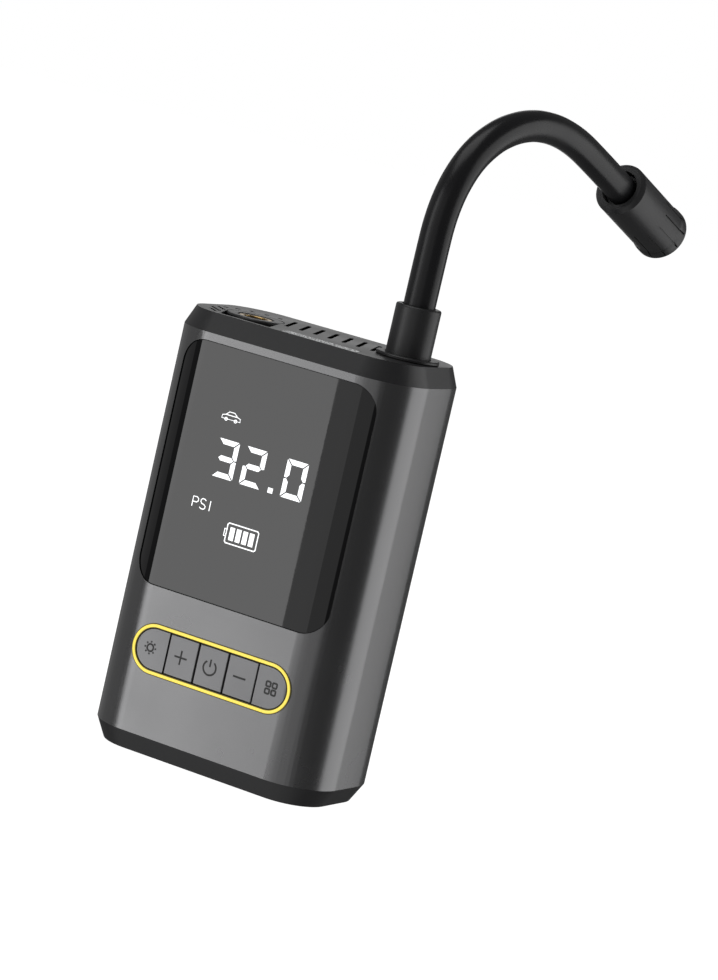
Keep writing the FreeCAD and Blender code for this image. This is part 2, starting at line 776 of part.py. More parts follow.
ringSpanY = (frontFace + " - ringProud", frontInside)
piece("button_ring", cut("buttonRing",
                         pill("ringOuter", "pillRadius + ringWidth / 2", ringSpanY),
                         pill("ringInner", "pillRadius - ringWidth / 2", ringSpanY)))

buttonBack = frontFace + " + buttonDepth"
buttonField = common("buttonField",
                     pill("buttonFieldPill", "pillRadius - ringWidth / 2 - buttonGap",
                          ("-caseDepth", buttonBack)),
                     caseBlock("buttonSkin"))
buttonNames = ["light_button", "plus_button", "power_button", "minus_button", "mode_button"]
switches = []
for index, node in enumerate(buttonNames):
    middle = "(%d * buttonPitch)" % (index - 2)
    reachLow = "buttonPitch / 2 - buttonGap" if index > 0 else "buttonPitch"
    reachHigh = "buttonPitch / 2 - buttonGap" if index < 4 else "buttonPitch"
    spanX = ("%s - (%s)" % (middle, reachLow), "%s + (%s)" % (middle, reachHigh))
    slab = box(node + "Slice", spanX, ("-caseDepth", "0"), ("0", "caseHeight"))
    piece(node, common(node + "Cap", buttonField, slab))
    switchX = ("%s - switchSize / 2" % middle, "%s + switchSize / 2" % middle)
    switchZ = ("pillPlace - switchSize / 2", "pillPlace + switchSize / 2")
    switchY = (boardFront + " - switchThick", boardFront)
    switches.append(box("switch%d" % index, switchX, switchY, switchZ))
piece("tact_switches", group("tactSwitches", *switches))


# --- battery ----------------------------------------------------------------------------------
lowCell = "(capWall + trayWall + cellRadius)"
highCell = "(capWall + trayWall + 3 * cellRadius + cellGap)"
cellStart = "-cellLength / 2"
traySpanY = ("cellY - cellRadius / 2", "cellY + cellRadius + trayWall / 2")
trayBlock = box("trayBlock", ("-trayHalfLength", "trayHalfLength"), traySpanY,
                ("capWall", trayTop))
trayBores = []
for index, height in enumerate((lowCell, highCell)):
    piece("battery_cell_%d" % (index + 1),
          rod("cell%d" % index, "X", (cellStart, "cellY", height), "cellRadius", "cellLength"))
    trayBores.append(rod("trayBore%d" % index, "X", ("-caseWidth", "cellY", height),
                         "cellRadius + trayClear", "2 * caseWidth"))
trayThroat = box("trayThroat", ("-caseWidth", "caseWidth"),
                 ("cellY - cellRadius", "cellY + cellRadius / 2"), (lowCell, highCell))
piece("battery_tray", cut("batteryTray", trayBlock, trayThroat, *trayBores))
strips = []
for sign in (-1, 1):
    face = "%d * cellLength / 2" % sign
    spanX = (face, face + " + stripThick") if sign > 0 else (face + " - stripThick", face)
    strips.append(box("strip%d" % (sign + 1), spanX,
                      ("cellY - stripWidth / 2", "cellY + stripWidth / 2"),
                      (lowCell + " - stripWidth / 2", highCell + " + stripWidth / 2")))
piece("battery_strips", group("batteryStrips", *strips))


# --- motor, gears and crank ---------------------------------------------------------------------
motorCan = rod("motorCanBody", "Z", ("motorX", "pumpY", trayTop), "motorRadius", "motorLength")
motorBoss = rod("motorBoss", "Z", ("motorX", "pumpY", plateLow), "motorBossRadius", "plateThick")
shaftLow = plateLow + " - shaftDepth"
shaftHole = rod("motorShaftHole", "Z", ("motorX", "pumpY", shaftLow + " - runClear"),
                "shaftRadius + runClear", "shaftDepth + plateThick + cutMargin")
piece("motor", cut("motorCase", fuse("motorBlank", motorCan, motorBoss), shaftHole))
piece("motor_shaft", rod("motorShaft", "Z", ("motorX", "pumpY", shaftLow), "shaftRadius",
                         "shaftDepth + shaftReach"))

plateSpanX = ("motorX - motorRadius + plateMargin", cylinderFar)
plateSpanY = ("pumpY - plateWidth / 2", "pumpY + plateWidth / 2")
frameBlank = box("frameBlank", plateSpanX, plateSpanY, (plateLow, plateTop))
bossHole = rod("frameBossHole", "Z", ("motorX", "pumpY", plateLow), "motorBossRadius",
               "plateThick")
axleHole = rod("frameAxleHole", "Z", (gearX, "pumpY", plateLow), "axleRadius", "plateThick")
piece("gear_frame", cut("gearFrame", frameBlank, bossHole, axleHole))
piece("gear_axle", rod("gearAxle", "Z", (gearX, "pumpY", plateLow), "axleRadius",
                       "plateThick + gearLift + gearThick"))


def gearOutline(teeth, centre, low, phase):
    # straight-sided teeth, a little narrower than the gaps between them
    module = size("toothSize")
    pitch = teeth * module / 2
    root = pitch - size("toothRoot") * module
    tip = pitch + size("toothTip") * module
    wide = size("toothRootShare")
    slim = size("toothTipShare")
    step = 2 * math.pi / teeth
    corners = []
    for index in range(teeth):
        for radius, share in ((root, -wide), (tip, -slim), (tip, slim), (root, wide)):
            angle = phase + (index + share) * step
            corners.append(FreeCAD.Vector(centre.x + radius * math.cos(angle),
                                          centre.y + radius * math.sin(angle), low))
    return Part.Face(Part.makePolygon(corners + corners[:1]))


def valueOf(formula):
    # the sheet works the formula out in a cell of its own
    probe = "D1"
    sheet.set(probe, "=" + re.sub(r"Sizes\.", "", onSheet(formula)))
    doc.recompute([sheet])
    return float(sheet.get(probe))


def shaped(node, name, shape):
    feature = doc.addObject("Part::Feature", name)
    feature.Shape = shape
    return piece(node, feature)


up = FreeCAD.Vector(0, 0, 1)
pumpY = size("pumpY")
gearCentre = FreeCAD.Vector(valueOf(gearX), pumpY, 0)
motorCentre = FreeCAD.Vector(size("motorX"), pumpY, 0)
gearBase = valueOf(gearLow)
gearThick = size("gearThick")
gearHeight = up * gearThick
gearSolid = gearOutline(int(size("gearTeeth")), gearCentre, gearBase, math.pi).extrude(gearHeight)
gearBore = Part.makeCylinder(size("axleRadius") + size("runClear"), gearThick,
                             gearCentre + up * gearBase, up)
shaped("crank_gear", "crankGear", gearSolid.cut(gearBore))
halfTooth = math.pi / size("pinionTeeth")
pinionSolid = gearOutline(int(size("pinionTeeth")), motorCentre, gearBase,
                          halfTooth).extrude(gearHeight)
pinionBore = Part.makeCylinder(size("shaftRadius"), gearThick, motorCentre + up * gearBase, up)
shaped("motor_pinion", "motorPinion", pinionSolid.cut(pinionBore))

rodLow = "(%s - rodThick / 2)" % pumpAxis
piece("crank_pin", rod("crankPin", "Z", (pinX, "pumpY", gearTop), "pinRadius",
                       "%s - %s - pivotGap" % (rodLow, gearTop)))


# --- piston, cylinder and head ------------------------------------------------------------------
rodSpanY = ("pumpY - rodThick / 2", "pumpY + rodThick / 2")
rodSpanZ = (rodLow, "%s + rodThick" % rodLow)
sealLow = "(%s - sealThick / 2)" % pistonX
eye = rod("rodEye", "Z", (pinX, "pumpY", rodLow), "rodEyeRadius", "rodThick")
rodBar = box("rodBar", (pinX, sealLow), rodSpanY, rodSpanZ)
eyeHole = rod("rodEyeHole", "Z", (pinX, "pumpY", rodLow), "pinRadius + runClear", "rodThick")
backPlate = rod("pistonBack", "X", (sealLow + " - pistonPlate", "pumpY", pumpAxis),
                "boreRadius - pistonPlateGap", "pistonPlate")
sealCore = rod("sealCore", "X", (sealLow, "pumpY", pumpAxis), "boreRadius / 2", "sealThick")
rodBlank = fuse("rodBlank", eye, rodBar, backPlate, sealCore)
piece("piston_rod", cut("pistonRod", rodBlank, eyeHole))
piece("piston_seal", tube("pistonSeal", "X", (sealLow, "pumpY", pumpAxis),
                          "boreRadius - runClear", "boreRadius / 2", "sealThick"))

cylinderBody = rod("cylinderBody", "X", (cylinderStart, "pumpY", pumpAxis), "cylinderRadius",
                   "%s - %s" % (cylinderFar, cylinderStart))
cylinderBore = rod("cylinderBore", "X", (cylinderStart, "pumpY", pumpAxis), "boreRadius",
                   "%s - %s" % (boreEnd, cylinderStart))
cylinderPort = rod("cylinderPort", "X", (boreEnd, "pumpY", pumpAxis), "portRadius",
                   "cylinderEnd")
piece("pump_cylinder", cut("pumpCylinder", cylinderBody, cylinderBore, cylinderPort))

headSpanY = ("pumpY - headHalfWidth", "pumpY + headHalfWidth")
headTop = "(%s + headHalfWidth)" % pumpAxis
headBlock = box("headBlock", (cylinderFar, headFar), headSpanY,
                ("%s - headHalfWidth" % pumpAxis, headTop))
headChamber = rod("headChamber", "X", (cylinderFar, "pumpY", pumpAxis), "valveRadius + runClear",
                  "valveChamber")
outletX = "(%s + headLength / 2)" % cylinderFar
headOutlet = rod("headOutlet", "Z", (outletX, "pumpY", pumpAxis), "portRadius",
                 "headHalfWidth")
piece("cylinder_head", cut("cylinderHead", headBlock, headChamber, headOutlet))
piece("valve_disc", rod("valveDisc", "X", (cylinderFar, "pumpY", pumpAxis), "valveRadius",
                        "valveThick"))
piece("pressure_sensor", rod("pressureSensor", "Z",
                             (outletX, "pumpY - headHalfWidth + sensorInset", headTop),
                             "sensorRadius", "sensorHeight"))


def smoothPath(points):
    # straight runs joined by tangent arcs, each as large as its share of the shorter run allows
    edges = []
    radii = []
    start = points[0]
    for before, corner, after in zip(points, points[1:], points[2:]):
        into = (corner - before).normalize()
        out = (after - corner).normalize()
        turn = into.getAngle(out)
        reach = size("bendShare") * min(before.distanceToPoint(corner), corner.distanceToPoint(after))
        radii.append(reach / math.tan(turn / 2))
        first = corner - into * reach
        last = corner + out * reach
        middle = corner + (out - into).normalize() * radii[-1] * (1 / math.cos(turn / 2) - 1)
        edges.append(Part.LineSegment(start, first).toShape())
        edges.append(Part.Arc(first, middle, last).toShape())
        start = last
    edges.append(Part.LineSegment(start, points[-1]).toShape())
    return Part.Wire(edges), radii


def sweptTube(points, radius):
    wire, radii = smoothPath(points)
    along = points[1] - points[0]
    section = Part.Wire(Part.makeCircle(radius, points[0], along))
    return wire.makePipeShell([section], True, False), wire.Length, radii


headX = valueOf(outletX)
headZ = valueOf(headTop)
hoseX = size("hoseX")
hoseY = size("hoseY")
stemFoot = size("caseHeight") - size("stemRoot")
airPoints = [
    FreeCAD.Vector(headX, pumpY, headZ),
    FreeCAD.Vector(headX, pumpY, headZ + size("airBendLow") * (stemFoot - headZ)),
    FreeCAD.Vector(hoseX, hoseY, headZ + size("airBendHigh") * (stemFoot - headZ)),
    FreeCAD.Vector(hoseX, hoseY, stemFoot),
]
airShape, airLength, airRadii = sweptTube(airPoints, size("airTubeRadius"))
shaped("air_tube", "airTube", airShape)


# --- main board and charging socket ---------------------------------------------------------------
mainFront = "(%s - boardThick)" % mainRear
mainBlank = box("mainBlank", ("-mainHalfWidth", "mainHalfWidth"), (mainFront, mainRear),
                ("mainLow", "mainHigh"))
portSpanX = ("usbX - usbWidth / 2", "usbX + usbWidth / 2")
portSpanZ = ("usbZ - usbThick / 2", "usbZ + usbThick / 2")
portFar = "(caseDepth / 2 - usbSink)"
usbSpanDepth = ("%s - usbDepth" % portFar, portFar)
mainNotch = plate("mainNotch", portSpanX, portSpanZ, ("0", "caseDepth"), "usbThick / 2 - usbRoundShort")
mainHoles = [mainNotch]
mainScrews = []
for signX in (-1, 1):
    for alias, step in (("mainLow", "postRadius"), ("mainHigh", "-postRadius")):
        tag = "%s%d" % (alias, signX + 1)
        spotX = "%d * (mainHalfWidth - postRadius)" % signX
        spotZ = "%s + %s" % (alias, step)
        mainHoles.append(rod("mainHole" + tag, "Y", (spotX, mainFront, spotZ),
                             "smallScrewRadius", "boardThick"))
        head = rod("mainScrewHead" + tag, "Y",
                   (spotX, mainFront + " - smallHeadThick", spotZ), "smallHeadRadius",
                   "smallHeadThick")
        shank = rod("mainScrewShank" + tag, "Y", (spotX, mainFront, spotZ),
                    "smallScrewRadius", "boardThick + smallScrewReach")
        mainScrews.append(fuse("mainScrew" + tag, head, shank))
piece("main_board", cut("mainBoard", mainBlank, *mainHoles))
piece("main_board_screws", group("mainBoardScrews", *mainScrews))
portShell = plate("portShell", portSpanX, portSpanZ, usbSpanDepth, "usbThick / 2 - usbRoundShort")
portFloor = portFar + " - usbDepth + usbFloor"
portCavity = plate("portCavity", (portSpanX[0] + " + usbWall", portSpanX[1] + " - usbWall"),
                   (portSpanZ[0] + " + usbWall", portSpanZ[1] + " - usbWall"),
                   (portFloor, portFar), "usbThick / 2 - usbWall - usbRoundShort")
portTongue = box("portTongue",
                 (portSpanX[0] + " + tongueInset", portSpanX[1] + " - tongueInset"),
                 (portFloor, portFar + " - tongueSink"),
                 ("usbZ - tongueHalf", "usbZ + tongueHalf"))
piece("charging_port", fuse("chargingPort", cut("portCan", portShell, portCavity), portTongue))
chips = []
for index, (x, z, wide, tall, deep) in enumerate(boardParts):
    chips.append(box("chip%d" % index, ("%g" % (x - wide / 2), "%g" % (x + wide / 2)),
                     ("%s - %g" % (mainFront, deep), mainFront),
                     ("mainLow + %g" % (z - tall / 2), "mainLow + %g" % (z + tall / 2))))
piece("main_board_parts", group("mainBoardParts", *chips))


# --- top face: socket, lens, screen ---------------------------------------------------------------
socketLow = "(caseHeight - socketDepth)"
socketCup = rod("socketCup", "Z", ("socketX", "socketY", socketLow), "socketRadius",
                "socketDepth")
insertLow = "(caseHeight - insertSink - insertLength)"
insertHole = rod("insertHole", "Z", ("socketX", "socketY", insertLow), "insertRadius",
                 "insertLength + insertSink")
piece("storage_socket", cut("storageSocket", socketCup, insertHole))
piece("socket_insert", tube("socketInsert", "Z", ("socketX", "socketY", insertLow),
                            "insertRadius", "insertBore", "insertLength"))
lensLow = "(caseHeight - lensThick)"
piece("led_lens", box("ledLens", lensSpanX, lensSpanY, (lensLow, "caseHeight")))
ledBoardTop = "(%s - ledThick)" % lensLow
ledParts = [box("ledBoardPlate", ("lensLeft - ledThick", "lensRight - ledThick"),
                ("lensFront + ledThick / 2", "lensBack + ledThick"),
                (ledBoardTop + " - ledThick", ledBoardTop))]
ledY = "(lensFront + lensBack) / 2"
for index in range(int(size("ledCount"))):
    ledX = "lensLeft + (lensRight - lensLeft) * (%d + 0.5) / ledCount" % index
    ledParts.append(box("led%d" % index, (ledX + " - ledHalfLength", ledX + " + ledHalfLength"),
                        (ledY + " - ledHalfWidth", ledY + " + ledHalfWidth"),
                        (ledBoardTop, lensLow)))
piece("led_board", fuse("ledBoard", *ledParts))
screenHalf = "(slotCount * slotPitch / 2 + screenEdge)"
screenBlank = box("screenBlank", ("slotX - " + screenHalf, "slotX + " + screenHalf),
                  ("slotY - slotLength / 2", "slotY + slotLength / 2"),
                  (capUnder + " - screenThick", capUnder))
screenNotches = [
    rod("screenSocketNotch", "Z", ("socketX", "socketY", capSeat), "socketRadius + screenSocketGap",
        "topCapHeight"),
    rod("screenBezelNotch", "Z", ("hoseX", "hoseY", capSeat), "bezelSpigot + screenBezelGap",
        "topCapHeight"),
    bayBody("screenBayNotch", capSeat, "caseHeight", "bayScreenGap"),
]
piece("dust_screen", cut("dustScreen", screenBlank, *screenNotches))


# --- hose, collar and chuck -------------------------------------------------------------------------
bezelParts = [
    rod("bezelFlange", "Z", ("hoseX", "hoseY", "caseHeight"), "bezelRadius", "bezelHeight"),
    rod("bezelNeck", "Z", ("hoseX", "hoseY", capSeat), "bezelSpigot", "topCapHeight"),
]
bezelBore = rod("bezelBore", "Z", ("hoseX", "hoseY", capSeat), "collarRadius",
                "topCapHeight + bezelHeight")
piece("hose_bezel", cut("hoseBezel", fuse("bezelBlank", *bezelParts), bezelBore))
collarLow = "(caseHeight - collarRoot)"
collarBody = rod("collarBody", "Z", ("hoseX", "hoseY", collarLow), "collarRadius",
                 "collarRoot + collarHeight")
collarBore = rod("collarBore", "Z", ("hoseX", "hoseY", "hoseStart"), "hoseRadius",
                 "caseHeight")
stemLow = "(caseHeight - stemRoot)"
collarStem = rod("collarStemBore", "Z", ("hoseX", "hoseY", collarLow), "stemRadius",
                 "hoseStart - %s" % collarLow)
piece("hose_collar", cut("hoseCollar", collarBody, collarBore, collarStem))
piece("hose_stem", tube("hoseStem", "Z", ("hoseX", "hoseY", stemLow), "stemRadius",
                        "portRadius", "hoseStart - %s" % stemLow))

heading = math.radians(size("hoseHeading"))
outward = FreeCAD.Vector(math.cos(heading), math.sin(heading), 0)
hoseFoot = FreeCAD.Vector(hoseX, hoseY, size("hoseStart"))
hosePoints = [hoseFoot + outward * reach + up * height for reach, height in hoseRoute]
hoseShape, hoseLength, hoseRadii = sweptTube(hosePoints, size("hoseRadius"))
shaped("hose", "hose", hoseShape)
hoseSection = math.pi * size("hoseRadius") ** 2
print("hose length %.1f mm, volume / (section x length) %.4f"
      % (hoseLength, hoseShape.Volume / (hoseSection * hoseLength)))
print("hose arc radii", [round(radius, 1) for radius in hoseRadii])
print("air tube arc radii", [round(radius, 1) for radius in airRadii])

# chuck pieces are drawn along +Z from the chuck's near end and then laid on the hose's last run
chuckAlong = (hosePoints[-1] - hosePoints[-2]).normalize()
chuckStart = hosePoints[-1] - chuckAlong * size("hoseInChuck")
chuckTurn = FreeCAD.Rotation(up, chuckAlong)


def onHose(node, name, thing):
    placed = doc.addObject("Part::Compound", name)
    placed.Links = [thing]
    placed.Placement = FreeCAD.Placement(chuckStart, chuckTurn)
    return piece(node, placed)


flangeStart = "chuckLength - chuckFlange"
sleeveParts = [
    cone("sleeveNose", "Z", ("0", "0", "0"), "chuckRadius - chuckNose", "chuckRadius",
         "chuckNose"),
    rod("sleeveBarrel", "Z", ("0", "0", "chuckNose"), "chuckRadius", "chuckLength - chuckNose"),
    cone("sleeveStep", "Z", ("0", "0", flangeStart + " - chuckCone"), "chuckRadius",
         "chuckFlangeRadius", "chuckCone"),
    rod("sleeveFlange", "Z", ("0", "0", flangeStart), "chuckFlangeRadius", "chuckFlange"),
]
sleeveTools = [
    rod("sleeveMouth", "Z", ("0", "0", "0"), "chuckMouth", "chuckLength"),
    rod("sleeveCavity", "Z", ("0", "0", "chuckShoulder"), "chuckCavity", "chuckLength"),
]
for index in range(int(size("grooveCount"))):
    groove = box("groove%d" % index, ("chuckRadius - grooveDepth", "chuckFlangeRadius + cutMargin"),
                 ("-grooveWidth / 2", "grooveWidth / 2"), ("grooveStart", "chuckLength - grooveEndGap"))
    turned = doc.addObject("Part::Compound", "grooveTurned%d" % index)
    turned.Links = [groove]
    angle = 360 * (index + 0.5) / size("grooveCount")
    turned.Placement = FreeCAD.Placement(FreeCAD.Vector(), FreeCAD.Rotation(up, angle))
    sleeveTools.append(turned)
onHose("chuck_sleeve", "chuckSleeve",
       cut("sleeveCut", fuse("sleeveBlank", *sleeveParts), *sleeveTools))

nutStart = "(chuckShoulder + 2 * swivelClear + swivelThick)"
nutLength = "chuckLength - nutSink - %s" % nutStart
nutBody = rod("nutBody", "Z", ("0", "0", nutStart), "chuckCavity", nutLength)
nutChamber = rod("nutChamber", "Z", ("0", "0", nutStart), "nutChamber",
                 "nutChamberEnd - %s" % nutStart)
nutBore = rod("nutBoreHole", "Z", ("0", "0", nutStart), "nutBore", "chuckLength")
onHose("chuck_nut", "chuckNut", cut("nutCut", nutBody, nutChamber, nutBore))

onHose("hose_ferrule", "hoseFerrule",
       tube("ferruleTube", "Z", ("0", "0", "ferruleStart"), "ferruleRadius", "hoseRadius",
            "ferruleEnd - ferruleStart"))
swivelStart = "(chuckShoulder + swivelClear)"
swivelParts = [
    rod("swivelSpigot", "Z", ("0", "0", "hoseInChuck"), "hoseRadius",
        "%s - hoseInChuck" % swivelStart),
    rod("swivelFlange", "Z", ("0", "0", swivelStart), "swivelRadius", "swivelThick"),
    rod("swivelNose", "Z", ("0", "0", swivelStart), "noseRadius",
        "noseEnd - %s" % swivelStart),
]
onHose("chuck_swivel", "chuckSwivel", fuse("swivelBlank", *swivelParts))
onHose("chuck_gasket", "chuckGasket",
       tube("gasketRing", "Z", ("0", "0", "noseEnd"), "gasketRadius", "gasketBore",
            "gasketThick"))
onHose("valve_depressor", "valveDepressor",
       rod("depressorPin", "Z", ("0", "0", "noseEnd"), "pinCoreRadius", "pinCoreEnd - noseEnd"))


# --- check and write --------------------------------------------------------------------------------
doc.recompute()
for item in doc.Objects:
    if "Invalid" in item.State or "Error" in item.State:
        raise SystemExit("%s did not recompute: %s" % (item.Name, item.State))
os.makedirs("parts", exist_ok=True)
for node, thing in named.items():
    shape = thing.Shape
    if shape.isNull() or not shape.isValid() or not shape.Solids:
        raise SystemExit("%s has no sound solid" % node)
for node, thing in named.items():
    thing.Shape.exportStep("parts/%s.step" % node)
print(len(named), "nodes written")
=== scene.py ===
import bpy
import bmesh
import json
import math
from mathutils import Matrix, Vector


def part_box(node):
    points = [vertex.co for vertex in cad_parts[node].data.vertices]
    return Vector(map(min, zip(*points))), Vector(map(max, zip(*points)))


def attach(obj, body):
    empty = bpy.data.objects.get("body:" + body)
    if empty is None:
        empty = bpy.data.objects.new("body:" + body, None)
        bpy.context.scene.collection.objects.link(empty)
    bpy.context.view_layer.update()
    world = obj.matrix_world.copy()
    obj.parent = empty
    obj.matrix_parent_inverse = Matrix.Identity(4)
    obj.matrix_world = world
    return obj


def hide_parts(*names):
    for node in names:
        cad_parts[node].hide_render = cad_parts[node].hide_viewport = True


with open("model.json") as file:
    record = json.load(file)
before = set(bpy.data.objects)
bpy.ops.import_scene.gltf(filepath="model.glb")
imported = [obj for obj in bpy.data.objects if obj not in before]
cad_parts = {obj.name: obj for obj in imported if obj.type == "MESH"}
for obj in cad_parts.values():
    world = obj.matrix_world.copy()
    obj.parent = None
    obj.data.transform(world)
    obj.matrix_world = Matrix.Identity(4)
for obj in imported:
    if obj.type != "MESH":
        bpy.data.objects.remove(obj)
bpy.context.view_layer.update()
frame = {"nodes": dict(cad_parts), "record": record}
scene = bpy.context.scene
scene.view_settings.view_transform = "Standard"
mm = 0.001
slotOf = {part["node"]: part["material_slot"] for part in frame["record"]["subparts"]}
bodyOf = {node: body for body, nodes in frame["record"]["behaviour"]["bodies"].items()
          for node in nodes}
print("frame loaded,", len(frame["nodes"]), "nodes")


# camera
cameraLook = {
    "azimuth": 27.168,
    "elevation": 8.032,
    "roll": 12.983,
    "lens": 135.09,
    "sensor": 36.0,
    "middle": (0.0, 0.0, 0.065),
    "aside": 0.0244,
    "above": 0.0182,
    "distance": 1.0666,
}


def makeCamera(look):
    turn = math.radians(look["azimuth"])
    lift = math.radians(look["elevation"])
    roll = math.radians(look["roll"])
    back = Vector((math.sin(turn) * math.cos(lift), -math.cos(turn) * math.cos(lift),
                   math.sin(lift)))
    level = Vector((math.cos(turn), math.sin(turn), 0.0))
    right = level * math.cos(roll) + back.cross(level) * math.sin(roll)
    up = back.cross(right)
    aim = Vector(look["middle"]) + right * look["aside"] + up * look["above"]
    data = bpy.data.cameras.new("camera")
    data.lens = look["lens"]
    data.sensor_width = look["sensor"]
    camera = bpy.data.objects.new("camera", data)
    scene.collection.objects.link(camera)
    axes = Matrix((right, up, back)).transposed().to_4x4()
    camera.matrix_world = Matrix.Translation(aim + back * look["distance"]) @ axes
    scene.camera = camera


makeCamera(cameraLook)
print("camera set")


# shader groups
def groupSocket(group, name, way, kind, value=None):
    socket = group.interface.new_socket(name=name, in_out=way, socket_type=kind)
    if value is not None:
        socket.default_value = value


def makeSurfaceGroup():
    # slow colour drift, uneven gloss and a fine moulded grain
    group = bpy.data.node_groups.new("surfaceDrift", "ShaderNodeTree")
    groupSocket(group, "Vector", "INPUT", "NodeSocketVector")
    groupSocket(group, "Colour", "INPUT", "NodeSocketColor", (0.5, 0.5, 0.5, 1.0))
    groupSocket(group, "Tint", "INPUT", "NodeSocketColor", (0.4, 0.4, 0.4, 1.0))
    groupSocket(group, "Drift Scale", "INPUT", "NodeSocketFloat", 60.0)
    groupSocket(group, "Drift", "INPUT", "NodeSocketFloat", 0.3)
    groupSocket(group, "Smooth", "INPUT", "NodeSocketFloat", 0.3)
    groupSocket(group, "Rough", "INPUT", "NodeSocketFloat", 0.4)
    groupSocket(group, "Grain Scale", "INPUT", "NodeSocketFloat", 3000.0)
    groupSocket(group, "Colour", "OUTPUT", "NodeSocketColor")
    groupSocket(group, "Roughness", "OUTPUT", "NodeSocketFloat")
    groupSocket(group, "Grain", "OUTPUT", "NodeSocketFloat")
    nodes, links = group.nodes, group.links
    into = nodes.new("NodeGroupInput")
    out = nodes.new("NodeGroupOutput")
    drift = nodes.new("ShaderNodeTexNoise")
    drift.inputs["Detail"].default_value = 4.0
    grain = nodes.new("ShaderNodeTexNoise")
    grain.inputs["Detail"].default_value = 3.0
    share = nodes.new("ShaderNodeMath")
    share.operation = "MULTIPLY"
    mix = nodes.new("ShaderNodeMix")
    mix.data_type = "RGBA"
    gloss = nodes.new("ShaderNodeMapRange")
    gloss.inputs["From Min"].default_value = 0.3
    gloss.inputs["From Max"].default_value = 0.7
    links.new(into.outputs["Vector"], drift.inputs["Vector"])
    links.new(into.outputs["Drift Scale"], drift.inputs["Scale"])
    links.new(into.outputs["Vector"], grain.inputs["Vector"])
    links.new(into.outputs["Grain Scale"], grain.inputs["Scale"])
    links.new(drift.outputs["Fac"], share.inputs[0])
    links.new(into.outputs["Drift"], share.inputs[1])
    links.new(share.outputs[0], mix.inputs["Factor"])
    links.new(into.outputs["Colour"], mix.inputs[6])
    links.new(into.outputs["Tint"], mix.inputs[7])
    links.new(drift.outputs["Fac"], gloss.inputs["Value"])
    links.new(into.outputs["Smooth"], gloss.inputs["To Min"])
    links.new(into.outputs["Rough"], gloss.inputs["To Max"])
    links.new(mix.outputs[2], out.inputs["Colour"])
    links.new(gloss.outputs["Result"], out.inputs["Roughness"])
    links.new(grain.outputs["Fac"], out.inputs["Grain"])
    return group


surfaceGroup = makeSurfaceGroup()

